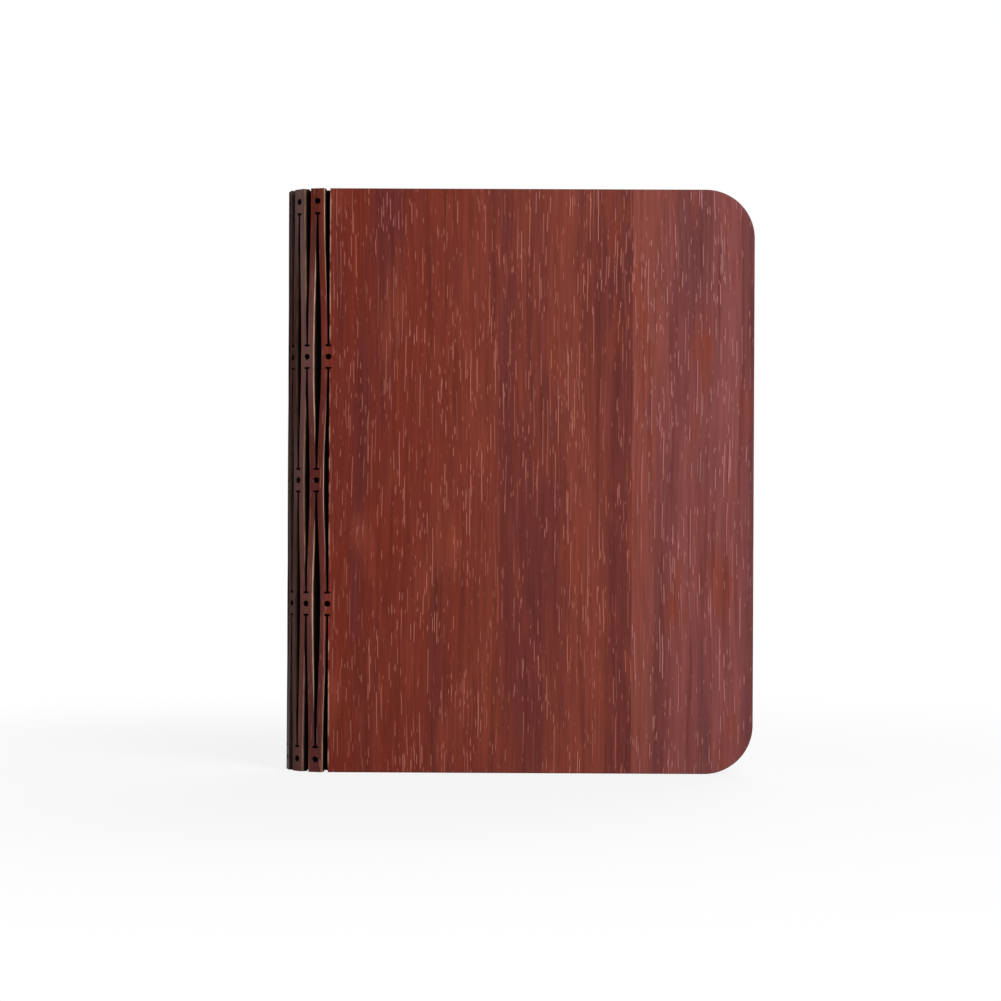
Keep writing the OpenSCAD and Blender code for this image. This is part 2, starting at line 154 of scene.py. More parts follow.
# ---- Mesh helpers ----


def make_mesh(name, points, faces, materials, face_material=None, shade_smooth=False):
    """A mesh object in the scene. face_material is the number of each face's material."""
    mesh = bpy.data.meshes.new(name)
    mesh.from_pydata([tuple(p) for p in points], [], [tuple(f) for f in faces])
    for material in materials:
        mesh.materials.append(material)
    if face_material is not None:
        mesh.polygons.foreach_set("material_index", np.array(face_material, np.int32))
    mesh.polygons.foreach_set("use_smooth", np.full(len(mesh.polygons), shade_smooth))
    mesh.update()
    piece = bpy.data.objects.new(name, mesh)
    bpy.context.scene.collection.objects.link(piece)
    return piece


def set_flat(piece, coordinates):
    """Where each point lies on the unrolled board: along it, up it, and below its outer face."""
    layer = piece.data.attributes.new("flat", "FLOAT_VECTOR", "POINT")
    layer.data.foreach_set("vector", np.asarray(coordinates, np.float32).ravel())


def bend(piece):
    """Bakes the piece's place into its mesh."""
    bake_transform(piece)


def loft(rings, closed_ends=True):
    """Faces between equal closed rings of points, and the number of each face's ring side.
    They face outward where the rings run clockwise as seen from the last ring."""
    count, size = len(rings), len(rings[0])
    faces, sides = [], []
    for row in range(count - 1):
        for i in range(size):
            j = (i + 1) % size
            faces.append((row * size + i, (row + 1) * size + i, (row + 1) * size + j, row * size + j))
            sides.append(i)
    if closed_ends:
        faces.append(tuple(range(size)))
        faces.append(tuple(reversed(range((count - 1) * size, count * size))))
        sides += [-1, -1]
    return faces, sides


# ---- Materials ----


class Graph:
    """Node tree of a material, or of the world, with short calls for the nodes they share."""

    def __init__(self, name, owner=None):
        self.material = owner or bpy.data.materials.new(name)
        self.material.use_nodes = True
        self.tree = self.material.node_tree
        self.shader = self.tree.nodes["Background" if owner else "Principled BSDF"]

    def feed(self, socket, value):
        """Links value to the socket, or sets it there."""
        if isinstance(value, bpy.types.NodeSocket):
            self.tree.links.new(value, socket)
        elif isinstance(value, (tuple, list)) and socket.type == "RGBA":
            socket.default_value = (*value[:3], 1)
        else:
            socket.default_value = value

    def node(self, kind, inputs=None, output=0, **settings):
        """Adds a node and returns one of its outputs."""
        made = self.tree.nodes.new(kind)
        for key, value in settings.items():
            setattr(made, key, value)
        for key, value in (inputs or {}).items():
            self.feed(made.inputs[key], value)
        return made.outputs[output]

    def math(self, operation, a, b=0.0, c=0.0):
        return self.node("ShaderNodeMath", {0: a, 1: b, 2: c}, operation=operation)

    def mix(self, factor, a, b, blend="MIX"):
        made = self.tree.nodes.new("ShaderNodeMix")
        made.data_type = "RGBA"
        made.blend_type = blend
        for index, value in ((0, factor), (6, a), (7, b)):
            self.feed(made.inputs[index], value)
        return made.outputs[2]

    def span(self, value, low, high, to_low=0.0, to_high=1.0):
        """value from low to high becomes to_low to to_high, eased and kept inside."""
        return self.node(
            "ShaderNodeMapRange",
            {"Value": value, "From Min": low, "From Max": high, "To Min": to_low, "To Max": to_high},
            interpolation_type="SMOOTHSTEP",
        )

    def scaled(self, vector, x, y, z=1.0):
        return self.node("ShaderNodeVectorMath", {0: vector, 1: (x, y, z)}, operation="MULTIPLY")

    def noise(self, vector, detail=2.0, scale=1.0):
        return self.node("ShaderNodeTexNoise", {"Vector": vector, "Scale": scale, "Detail": detail})

    def apart(self, vector):
        """The vector's three numbers."""
        made = self.tree.nodes.new("ShaderNodeSeparateXYZ")
        self.feed(made.inputs[0], vector)
        return made.outputs[:]

    def place(self):
        """Where the shaded point is, in metres."""
        return self.node("ShaderNodeTexCoord", output="Object")

    def attribute(self, name):
        return self.node("ShaderNodeAttribute", output="Vector", attribute_name=name)

    def bump(self, height, distance):
        made = self.node("ShaderNodeBump", {"Height": height, "Distance": distance, "Strength": 1.0})
        self.feed(self.shader.inputs["Normal"], made)

    def finish(self, colour, roughness=0.5, **constants):
        """Sets the shader's colour and roughness, and the values that are the same all over."""
        self.feed(self.shader.inputs["Base Color"], colour)
        self.feed(self.shader.inputs["Roughness"], roughness)
        for name, value in constants.items():
            self.shader.inputs[name.replace("_", " ")].default_value = value
        return self.material


def rgb(red, green, blue):
    """sRGB values from 0 to 255 as the linear colour that nodes take."""
    def linear(value):
        value /= 255
        return value / 12.92 if value <= 0.04045 else ((value + 0.055) / 1.055) ** 2.4
    return (linear(red), linear(green), linear(blue))


# The veneer's two leaves meet here, measured along the board. The first ends in a dark band.
# Each leaf grows lighter and pinker towards the fore-edge, partly its own colour and partly a painted sheen.
VENEER_JOIN = 41.5 * MM
JOIN_BAND_START = VENEER_JOIN - 13 * MM
JOIN_BAND_FULL = VENEER_JOIN - 3 * MM
JOIN_BAND_DARK = 0.05
SECOND_FULL = VENEER_JOIN + 30 * MM
# How far the grain wanders and wavers sideways, and where the second leaf's stretch of it begins
GRAIN_WANDER = 4.5 * MM
GRAIN_WAVER = 0.6 * MM
SECOND_STRETCH = 0.4
VENEER_RED = rgb(113, 38, 22)
VENEER_BROWN = rgb(124, 56, 43)
VENEER_TAN = rgb(129, 63, 53)
VENEER_PINK = rgb(127, 67, 64)
VENEER_AMBER = rgb(130, 56, 38)
VENEER_PLUM = rgb(92, 37, 36)
VENEER_MAUVE = rgb(98, 47, 50)
VENEER_STREAK = rgb(82, 26, 20)
VENEER_PORE = rgb(178, 106, 90)
VENEER_PALE_PORE = rgb(176, 118, 114)
EDGE_STAIN = rgb(70, 22, 20)
# Brown of the further painted shade in the spine's middle, where the strips turn from the light
DEEP_SHADE_COLOUR = rgb(46, 23, 20)
# Pale colour of the cut sides, partly raw wood and partly a painted highlight of their edges in the key light
CUT_WOOD_HIGHLIGHT = rgb(200, 154, 128)
CUT_BURNT = rgb(26, 16, 13)
# The veneer's rim is stained between these depths
STAIN_START = 0.03 * MM
STAIN_FULL = 0.22 * MM
# How far in from the slit the cover's edge carries a painted highlight, and how far from a land that is
# complete
EDGE_HIGHLIGHT_W = 0.6 * MM
EDGE_HIGHLIGHT_FADE = 4 * MM
# Where the painted shade of the strips, the further painted shade of the spine's middle and the painted shade
# of the cut sides begin and end, from either cover
SHADE_FULL = 3 * MM
DEEP_SHADE_START = 9.5 * MM
DEEP_SHADE_FULL = 13.5 * MM
WALL_SHADE_START = 6.5 * MM
WALL_SHADE_FULL = 9.5 * MM
# Half width, tapered end and depth of a pore, and how far beside it its painted shadow lies
PORE_HALF = 0.145 * MM
PORE_TAPER = 1.2 * MM
PORE_DEPTH = 0.035 * MM
PORE_SHADE = 0.42 * MM
# Within this distance of the spine the pores grow fainter
PORE_FADE = 40 * MM
# Shortest and longest half of a pore, as shares of its kind's length
PORE_SHORT = 0.12
PORE_LONG = 0.5
# A pore stands between these shares of its column's width
PORE_LEFT = 0.25
PORE_RIGHT = 0.75
# Seed, column width, cell height, longest pore and rarity of the short, middling and long pores
PORES = [
    (3, 0.9 * MM, 5.5 * MM, 4.2 * MM, 0.66),
    (17, 1.1 * MM, 11 * MM, 9 * MM, 0.57),
    (41, 1.5 * MM, 25 * MM, 22 * MM, 0.54),
]


def into_spine(g, along):
    """Distance along the board from the nearer cover towards the spine's middle."""
    half_spine = HINGES * HALF_PITCH
    from_middle = g.math("ABSOLUTE", g.math("SUBTRACT", along, SPINE_X - half_spine))
    return g.math("SUBTRACT", half_spine, from_middle)


def dashes(g, grain, crowd, seed, pitch, cell, longest, rarity):
    """Upright pores, at most one in each cell of a staggered grid, and the painted shadow beside each."""
    along, up, _ = g.apart(grain)
    column_place = g.math("DIVIDE", along, pitch)
    column = g.math("FLOOR", column_place)
    stagger = g.node("ShaderNodeTexWhiteNoise", {"W": g.math("ADD", column, seed)}, noise_dimensions="1D")
    row_place = g.math("MULTIPLY_ADD", up, 1 / cell, stagger)
    key = g.node("ShaderNodeCombineXYZ", {"X": column, "Y": g.math("FLOOR", row_place), "Z": seed})
    chance, middle, size = g.apart(g.node("ShaderNodeTexWhiteNoise", {"Vector": key}, output="Color"))
    clear = g.span(g.math("ADD", chance, crowd), rarity, 1.0)
    reach = g.span(size, 0.0, 1.0, longest * PORE_SHORT, longest * PORE_LONG)
    from_middle = g.math("ABSOLUTE", g.math("SUBTRACT", g.math("FRACT", row_place), 0.5))
    inside = g.math("MULTIPLY_ADD", from_middle, -cell, reach)
    clear = g.math("MULTIPLY", clear, g.span(inside, 0.0, PORE_TAPER))
    own_place = g.span(middle, 0.0, 1.0, PORE_LEFT, PORE_RIGHT)
    aside = g.math("SUBTRACT", g.math("FRACT", column_place), own_place)
    lines = []
    for shift in (0.0, PORE_SHADE):
        off = g.math("ABSOLUTE", g.math("MULTIPLY_ADD", aside, pitch, shift))
        line = g.span(off, PORE_HALF * 0.5, PORE_HALF * 1.5, 1.0, 0.0)
        lines.append(g.math("MULTIPLY", line, clear))
    return lines


def veneer(name, shade, gloss, roughness, deep_shade):
    """Open-pored red veneer with upright grain, laid in two leaves. On the spine, shade is a painted shade
    on every strip, and the last number is how strongly further painted shade darkens those away from the
    covers."""
    g = Graph(name)
    flat = g.attribute("flat")
    along, up, depth = g.apart(flat)
    second = g.math("GREATER_THAN", along, VENEER_JOIN)
    # The grain wanders to both sides on its way up, and the second leaf is another stretch of it
    wander = g.noise(g.scaled(flat, 16, 9, 0), detail=1)
    waver = g.noise(g.scaled(flat, 90, 70, 0), detail=1)
    across = g.math("MULTIPLY_ADD", wander, GRAIN_WANDER, along)
    across = g.math("MULTIPLY_ADD", waver, GRAIN_WAVER, across)
    across = g.math("ADD", across, g.math("MULTIPLY", second, SECOND_STRETCH))
    grain = g.node("ShaderNodeCombineXYZ", {"X": across, "Y": up, "Z": 0.0})
    # The two numbers are how many of each there are in a metre, across the grain and up it
    bands = g.noise(g.scaled(grain, 60, 3), detail=2)
    patches = g.noise(g.scaled(grain, 95, 20), detail=2)
    streaks = g.noise(g.scaled(grain, 330, 9), detail=3)
    fibres = g.noise(g.scaled(grain, 1500, 40), detail=2)
    # Partly painted sheen: lighter and pinker towards the fore-edge, where the key light falls
    first_leaf_sheen = g.mix(g.span(along, SPINE_X, VENEER_JOIN), VENEER_RED, VENEER_BROWN)
    second_leaf_sheen = g.mix(g.span(along, VENEER_JOIN, SECOND_FULL), VENEER_TAN, VENEER_PINK)
    colour = g.mix(second, first_leaf_sheen, second_leaf_sheen)
    towards_join = g.span(along, JOIN_BAND_START, JOIN_BAND_FULL, 0.0, JOIN_BAND_DARK)
    dark = g.math("SUBTRACT", towards_join, g.math("MULTIPLY", second, JOIN_BAND_DARK))
    # Each span takes a level of noise to how strongly the next colour covers the last
    plum = g.span(g.math("SUBTRACT", bands, dark), 0.36, 0.56, 0.72, 0.0)
    colour = g.mix(plum, colour, g.mix(second, VENEER_PLUM, VENEER_MAUVE))
    colour = g.mix(g.span(patches, 0.5, 0.72, 0.0, 0.75), colour, VENEER_AMBER)
    colour = g.mix(g.span(streaks, 0.48, 0.74, 0.0, 0.5), colour, VENEER_STREAK)
    crowd = g.span(g.noise(g.scaled(grain, 70, 25), detail=1), 0.35, 0.65, -0.12, 0.06)
    pore = shaded = 0.0
    for seed, pitch, cell, longest, rarity in PORES:
        line, beside = dashes(g, grain, crowd, seed, pitch, cell, longest, rarity)
        pore = g.math("MAXIMUM", line, pore)
        shaded = g.math("MAXIMUM", beside, shaded)
    # A painted shadow darkens the far side of each pore
    colour = g.mix(g.math("MULTIPLY", shaded, 0.45), colour, VENEER_STREAK)
    inward = into_spine(g, along)
    # Pores are fainter towards the spine
    pore_strength = g.span(inward, -PORE_FADE, 0.0, 0.8, 0.6)
    pore_colour = g.mix(second, VENEER_PORE, VENEER_PALE_PORE)
    colour = g.mix(g.math("MULTIPLY", pore, pore_strength), colour, pore_colour)
    tone = g.span(fibres, 0.25, 0.75, 0.84, 1.16)
    if deep_shade:
        # Painted shade: the strips darken inward from the cover's edge, and further towards brown in the
        # spine's middle
        tone = g.math("MULTIPLY", tone, g.span(inward, 0.0, SHADE_FULL, 1.0, shade))
        deep_shade_share = g.span(inward, DEEP_SHADE_START, DEEP_SHADE_FULL, 0.0, deep_shade)
        colour = g.mix(deep_shade_share, colour, DEEP_SHADE_COLOUR)
    else:
        # A painted highlight in the pale colour of cut wood shows here and there along the cover's edge
        # beside the first slit
        slit_edge = COVER_SHIFT + KERF / 2
        edge_highlight = g.span(inward, -slit_edge - EDGE_HIGHLIGHT_W, -slit_edge, 0.0, 0.75)
        broken = g.span(g.noise(g.scaled(flat, 60, 140), detail=3), 0.42, 0.6)
        edge_highlight = g.math("MULTIPLY", edge_highlight, broken)
        for _, high, hole in lands(0):
            from_land = g.math("SUBTRACT", g.math("ABSOLUTE", g.math("SUBTRACT", up, hole)), high - hole)
            edge_highlight = g.math("MULTIPLY", edge_highlight, g.span(from_land, CROSS_W, EDGE_HIGHLIGHT_FADE))
        colour = g.mix(edge_highlight, colour, CUT_WOOD_HIGHLIGHT)
    grey = g.node("ShaderNodeCombineXYZ", {"X": tone, "Y": tone, "Z": tone})
    colour = g.mix(1.0, colour, grey, "MULTIPLY")
    colour = g.mix(g.span(depth, STAIN_START, STAIN_FULL), colour, EDGE_STAIN)
    g.bump(g.math("MULTIPLY_ADD", pore, -1.0, g.math("MULTIPLY", fibres, 0.4)), PORE_DEPTH)
    return g.finish(colour, g.span(pore, 0, 1, roughness, 0.6), Specular_IOR_Level=gloss)


def cut_wood(name):
    """Laser-cut side of the board: pale near the outer face, partly a painted highlight, and burnt below it.
    Deeper into the spine the pale gives way to a painted shade.
    """
    g = Graph(name)
    scorch = g.noise(g.scaled(g.place(), 900, 900, 160), detail=3)
    along, _, depth = g.apart(g.attribute("flat"))
    burnt = g.span(depth, PALE_DEPTH * 0.7, PALE_DEPTH * 1.3)
    browned = g.mix(g.span(scorch, 0.35, 0.7, 0.0, 0.5), CUT_WOOD_HIGHLIGHT, CUT_BURNT)
    # Painted shade: deeper into the spine the cut sides darken, as they turn from the light
    browned = g.mix(g.span(into_spine(g, along), WALL_SHADE_START, WALL_SHADE_FULL, 0.0, 0.85), browned, CUT_BURNT)
    colour = g.mix(burnt, browned, CUT_BURNT)
    g.bump(scorch, 0.05 * MM)
    return g.finish(colour, 0.8, Specular_IOR_Level=0.15)


WEAVE_PITCH = 0.45 * MM
PAPER_SWIRL = 12 * MM


def cloth(name):
    """Black plain-woven book cloth."""
    g = Graph(name)
    place = g.place()
    x, y, z = g.apart(place)
    turn = 2 * math.pi / WEAVE_PITCH
    across = g.math("SINE", g.math("MULTIPLY", g.math("ADD", x, y), turn))
    up = g.math("SINE", g.math("MULTIPLY", z, turn))
    weave = g.math("MULTIPLY", across, up)
    lint = g.noise(place, detail=3, scale=700)
    colour = g.mix(g.span(weave, -1, 1), rgb(9, 8, 8), rgb(22, 19, 19))
    colour = g.mix(g.span(lint, 0.6, 0.8, 0, 0.4), colour, rgb(34, 30, 30))
    g.bump(weave, 0.04 * MM)
    return g.finish(colour, 0.95, Specular_IOR_Level=0.1)


def paper(name):
    """Spun-bonded paper: white, with faint swirling fibres."""
    g = Graph(name)
    place = g.place()
    drift = g.node("ShaderNodeTexNoise", {"Vector": place, "Scale": 90.0}, output="Color")
    drift = g.scaled(drift, PAPER_SWIRL, PAPER_SWIRL, PAPER_SWIRL)
    swirled = g.node("ShaderNodeVectorMath", {0: place, 1: drift}, operation="ADD")
    fibres = g.noise(g.scaled(swirled, 260, 260, 900), detail=4)
    clouds = g.noise(place, detail=2, scale=70)
    colour = g.mix(g.span(fibres, 0.35, 0.7), rgb(240, 238, 231), rgb(226, 223, 214))
    colour = g.mix(g.span(clouds, 0.4, 0.7, 0, 0.35), colour, rgb(233, 229, 219))
    g.bump(fibres, 0.03 * MM)
    return g.finish(colour, 0.8, Specular_IOR_Level=0.25)


def moulded(name, colour, roughness=0.5, grain=2500, depth=0.02, contrast=0.06, **constants):
    """Moulded plastic, rubber or foam: one colour with faint clouding and a fine grain, depth mm deep."""
    g = Graph(name)
    place = g.place()
    texture = g.noise(place, detail=3, scale=grain)
    clouds = g.noise(place, detail=2, scale=60)
    darker = tuple(c * (1 - contrast) for c in colour)
    mixed = g.mix(g.span(clouds, 0.35, 0.65), darker, colour)
    mixed = g.mix(g.span(texture, 0.55, 0.75, 0, 0.5), mixed, darker)
    g.bump(texture, depth * MM)
    return g.finish(mixed, g.span(texture, 0.3, 0.7, roughness - 0.05, roughness + 0.05), **constants)


def brushed(name, colour, roughness=0.35, scratch=(150, 150, 4000)):
    """Metal with fine lines."""
    g = Graph(name)
    lines = g.noise(g.scaled(g.place(), *scratch), detail=3)
    shade = g.mix(g.span(lines, 0.3, 0.7), tuple(c * 0.86 for c in colour), colour)
    g.bump(lines, 0.01 * MM)
    return g.finish(shade, g.span(lines, 0.3, 0.7, roughness - 0.08, roughness + 0.08), Metallic=1.0)


VENEER = veneer("veneer", shade=1.0, gloss=0.2, roughness=0.42, deep_shade=0.0)
# The spine's strips carry painted shade where they turn from the light
SPINE_VENEER = veneer("spine_veneer", shade=0.62, gloss=0.48, roughness=0.32, deep_shade=0.48)
CUT = cut_wood("cut_wood")
CLOTH = cloth("lining_cloth")
PAPER = paper("leaf_paper")
FOAM = moulded("foam", rgb(44, 44, 46), 0.9, grain=1400, depth=0.2, contrast=0.3)
STEEL = brushed("steel", (0.62, 0.63, 0.65))

# ---- Strips of the spine ----


def on_spine(hinge, angle, along, out):
    """Point beside a hinge line: along the turned board towards the back, and out from its middle."""
    normal = np.stack([-np.sin(angle), -np.cos(angle)], -1)
    tangent = np.stack([-np.cos(angle), np.sin(angle)], -1)
    turn = (hinge - 0.5) * STEP
    pivot = np.array([SPINE_X - HINGE_R * math.sin(turn), -HINGE_R * math.cos(turn)])
    return pivot + tangent * np.asarray(along)[..., None] + normal * np.asarray(out)[..., None]


def slit_gap(column, z):
    """Distance from a column's centre line to the strip beside it, at height z."""
    for low, high, hole in lands(column):
        if min(abs(z - low), abs(z - high)) < CROSS_W / 2:
            return CROSS_HALF
        if low < z < high:
            return math.sqrt(max(HOLE_R**2 - (z - hole) ** 2, 0))
    return KERF / 2 + 2 * MEANDER * (1 - float(smooth(share_of(column, z))))


def strip_heights():
    """Heights of the cross-sections: close together at every step and round the holes."""
    levels = {0.0, HEIGHT}
    edges = sorted(z for low, high, _ in EVEN_LANDS + ODD_LANDS for z in (low, high))
    for low, high in zip(edges, edges[1:]):
        levels.update(np.linspace(low, high, RAMP_ROWS))
    for low, high, hole in EVEN_LANDS + ODD_LANDS:
        for z in (low, high):
            for side in (-CROSS_W / 2, CROSS_W / 2):
                levels.update((z + side - STEP_RAMP / 2, z + side + STEP_RAMP / 2))
        levels.update(hole - HOLE_R * math.cos(math.pi * i / HOLE_ROWS) for i in range(HOLE_ROWS + 1))
    inside = sorted(z for z in levels if 0 <= z <= HEIGHT)
    kept = [inside[0]]
    for z in inside[1:]:
        if z - kept[-1] > STEP_RAMP / 4:
            kept.append(z)
    kept[-1] = HEIGHT
    return kept


def cover_shift(hinge, z):
    """How far the first and last strips follow the shifted lands of the covers, at height z."""
    if hinge == 1:
        return -COVER_SHIFT * float(smooth(share_of(0, z)))
    if hinge == HINGES:
        return COVER_SHIFT * float(smooth(share_of(HINGES, z)))
    return 0.0


def spine_strip(hinge):
    """One thin strip of the lattice: it twists from the lands of one column to those of the next."""
    rings, flat, weights = [], [], []
    top, low = BOARD / 2, -BOARD / 2
    for z in strip_heights():
        gap_a, gap_b = slit_gap(hinge - 1, z), slit_gap(hinge, z)
        right, left = gap_a - HALF_PITCH, HALF_PITCH - gap_b
        shift = cover_shift(hinge, z)
        right, left = right + shift, left + shift
        ease_a = EASED if gap_a > 0 else CLOSED_EDGE
        ease_b = EASED if gap_b > 0 else CLOSED_EDGE
        section = [
            (right + ease_a, top), (left - ease_b, top), (left, top - ease_b), (left, low + ease_b),
            (left - ease_b, low), (right + ease_a, low), (right, low + ease_a), (right, top - ease_a),
        ]
        weight = float(share_of(hinge, z))
        along = np.array([s for s, _ in section])
        out = np.array([t for _, t in section])
        angle = np.full(len(section), (hinge - 1 + weight) * STEP)
        xy = on_spine(hinge, angle, along, out)
        rings.append([(x, y, z) for x, y in xy])
        # Both sides of a kerf are burnt right up to the outer face
        at_land = [0.0, 0.0, weight, weight, 0.0, 0.0, 1 - weight, 1 - weight]
        burnt = [2 * PALE_DEPTH * float(smooth(2 * share - 1)) for share in at_land]
        line_x = SPINE_X - (2 * hinge - 1) * HALF_PITCH
        flat += [(line_x - s, z, top - t + more) for (s, t), more in zip(section, burnt)]
        weights += [weight] * len(section)
    faces, sides = loft(rings)
    # Sides of the cross-section: face and eased edges, walls, and the back on the cloth
    wood_sides, wall_sides = (0, 1, 7), (2, 6)
    kinds = [0 if s in wood_sides else 1 if s in wall_sides or s < 0 else 2 for s in sides]
    points = [p for ring in rings for p in ring]
    piece = make_mesh(f"spine_strip_{hinge:02d}", points, faces, [SPINE_VENEER, CUT, CLOTH], kinds)
    set_flat(piece, flat)
    bend(piece)
    if hinge < HINGES:
        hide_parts(f"spine_link_{hinge:02d}")
    return piece


for hinge in range(1, HINGES + 1):
    spine_strip(hinge)

# ---- Covers ----

COVER_EASE = 0.45 * MM
EASE_ROWS = 4
CORNER_ROWS = 24
# Points of the outline at a land, apart from those round its hole
LAND_POINTS = 8


def cover_outline():
    """The board's outline in width and height, and how each point moves as the rim is eased."""
    points, inward = [], []

    def add(x, z, dx=0.0, dz=0.0):
        points.append((x, z))
        inward.append((dx, dz))

    middle = SPINE_X + COVER_SHIFT
    slit_x = middle + KERF / 2
    cross = middle + CROSS_HALF
    add(slit_x, 0, 0, 1)
    for low, high, hole in lands(0):
        add(slit_x, low - CROSS_W / 2)
        add(cross, low - CROSS_W / 2)
        add(cross, low + CROSS_W / 2)
        add(middle, low + CROSS_W / 2)
        for i in range(HOLE_ROWS + 1):
            turn = math.pi * i / HOLE_ROWS
            add(middle + HOLE_R * math.sin(turn), hole - HOLE_R * math.cos(turn))
        add(middle, high - CROSS_W / 2)
        add(cross, high - CROSS_W / 2)
        add(cross, high + CROSS_W / 2)
        add(slit_x, high + CROSS_W / 2)
    add(slit_x, HEIGHT, 0, -1)
    for centre_z, start in ((HEIGHT - CORNER_R, math.pi / 2), (CORNER_R, 0)):
        for i in range(CORNER_ROWS + 1):
            turn = start - math.pi / 2 * i / CORNER_ROWS
            across, up = math.cos(turn), math.sin(turn)
            add(FORE_X - CORNER_R + CORNER_R * across, centre_z + CORNER_R * up, -across, -up)
    return np.array(points), np.array(inward)


def cover(side, name):
    """A veneered board. side is -1 for the front one and 1 for the back one."""
    outline, inward = cover_outline()
    turns = [math.pi / 2 * (1 - i / EASE_ROWS) for i in range(EASE_ROWS + 1)]
    eased = [(COVER_EASE * (1 - math.cos(turn)), COVER_EASE * (1 - math.sin(turn))) for turn in turns]
    rows = eased + [(inset, BOARD - depth) for inset, depth in reversed(eased)]
    flat, loops = [], []
    for inset, depth in rows:
        ring = outline + inward * inset
        y = side * (SPINE_R - depth)
        loops.append([(x, y, z) for x, z in ring])
        along = ring[:, 0] if side < 0 else 2 * (SPINE_X - HINGES * HALF_PITCH) - ring[:, 0]
        flat += [(x, z, depth) for x, z in zip(along, ring[:, 1])]
    faces, sides = loft(loops)
    points = [p for ring in loops for p in ring]
    if side < 0:
        faces = [tuple(reversed(f)) for f in faces]
    slit_count = len(lands(0)) * (HOLE_ROWS + 1 + LAND_POINTS) + 1
    kinds = [1 if 0 <= s < slit_count else 0 for s in sides]
    piece = make_mesh(name, points, faces, [VENEER, CUT], kinds)
    set_flat(piece, flat)
    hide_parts("front_cover" if side < 0 else "back_cover")
    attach(piece, "front_cover" if side < 0 else "back_cover")
    return piece


cover(-1, "front_cover_board")
cover(1, "back_cover_board")

# ---- Cloth behind the lattice ----

LINING_T = 0.4 * MM
LINING_INSET = 0.5 * MM
# How far the first and last cloths reach onto the covers
LINING_REACH = 12 * MM
# The crease is blunt: it reaches this far out, as a share of the cloth's own distance
CREASE_REACH = 1.006
CREASE_STEPS = 4
LINING_ROWS = 24


def lining(hinge):
    """Cloth from one column's centre line to the next, creased softly at the hinge."""
    centres = [(hinge - 1) * STEP, hinge * STEP]
    # Each place on the path is an angle and a distance along its flat, or none on the crease
    middle = INNER_R - LINING_T / 2
    half = middle * math.tan(STEP / 2)
    crease = middle * CREASE_REACH
    flat_turn = math.acos(middle / crease)
    path = []
    if hinge == 1:
        path += [(centres[0], LINING_REACH), (centres[0], LINING_REACH / 2)]
    path += [(centres[0], 0.0), (centres[0], -half / 2)]
    crease_turn = STEP - 2 * flat_turn
    path += [(centres[0] + flat_turn + crease_turn * i / CREASE_STEPS, None) for i in range(CREASE_STEPS + 1)]
    path += [(centres[1], half / 2), (centres[1], 0.0)]
    if hinge == HINGES:
        path += [(centres[1], -LINING_REACH / 2), (centres[1], -LINING_REACH)]
    line, normals = [], []
    for angle, along in path:
        normal = np.array([-math.sin(angle), -math.cos(angle)])
        tangent = np.array([-math.cos(angle), math.sin(angle)])
        point = normal * crease if along is None else normal * middle - tangent * along
        line.append(point + np.array([SPINE_X, 0]))
        normals.append(normal)
    outer = [p + n * LINING_T / 2 for p, n in zip(line, normals)]
    inner = [p - n * LINING_T / 2 for p, n in zip(line, normals)]
    section = outer + inner[::-1]
    heights = np.linspace(LINING_INSET, HEIGHT - LINING_INSET, LINING_ROWS)
    rings = [[(x, y, z) for x, y in section] for z in heights]
    faces, _ = loft(rings)
    piece = make_mesh(f"spine_cloth_{hinge:02d}", [p for r in rings for p in r], faces, [CLOTH])
    turn = (hinge - 0.5) * STEP
    tangent = np.array([-math.cos(turn), math.sin(turn)])
    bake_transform(piece)
    if hinge < HINGES:
        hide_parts(f"spine_lining_{hinge:02d}")
    if hinge in (1, HINGES):
        cover_name = "front_cover" if hinge == 1 else "back_cover"
        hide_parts(cover_name + "_lining")
    return piece


for hinge in range(1, HINGES + 1):
    lining(hinge)

# ---- Pleated leaves ----

LEAVES = HINGES - 1
leaf_low, leaf_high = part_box("leaf_06")
LEAF_IN, LEAF_OUT = leaf_low.x, leaf_high.x
LEAF_LOW, LEAF_HIGH = leaf_low.z, leaf_high.z
LEAF_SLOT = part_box("leaf_07")[0].y - leaf_low.y
LEAF_CORNER = 15 * MM
PAPER_T = 0.25 * MM
# A little under half, so that glued sheets share no face
SHEET_HALF = PAPER_T * 0.48
FOLD_T = 0.3 * MM
GLUE_FLAP = 12 * MM
# The glued hem of a leaf, and how far from hem and valley its sheets are fully spread
HEM = 4 * MM
HEM_FADE = 34 * MM
VALLEY_OPEN = 30 * MM
HINGE_X = SPINE_X - MID_R
SHEET_COLUMNS = 22
EDGE_ROWS = 12
MIDDLE_ROWS = 14
# Over 1, these crowd the rows towards head and tail, and the columns towards the valley
ROW_CROWDING = 1.3
COLUMN_CROWDING = 1.15


def leaf_rows():
    """Heights of the mesh rows, closer together near head and tail."""
    near = [LEAF_LOW + LEAF_CORNER * (1 - math.cos(math.pi / 2 * i / EDGE_ROWS)) for i in range(EDGE_ROWS)]
    span = HEIGHT / 2 - LEAF_LOW - LEAF_CORNER
    shares = [(i / MIDDLE_ROWS) ** ROW_CROWDING for i in range(MIDDLE_ROWS + 1)]
    lower = near + [LEAF_LOW + LEAF_CORNER + span * share for share in shares]
    return lower + [HEIGHT - z for z in reversed(lower[:-1])]


def leaf_edge(z):
    """Where the leaf's fore-edge is at height z."""
    deep = max(LEAF_LOW + LEAF_CORNER - z, z - LEAF_HIGH + LEAF_CORNER, 0)
    return LEAF_OUT - LEAF_CORNER + math.sqrt(max(LEAF_CORNER**2 - deep**2, 0))


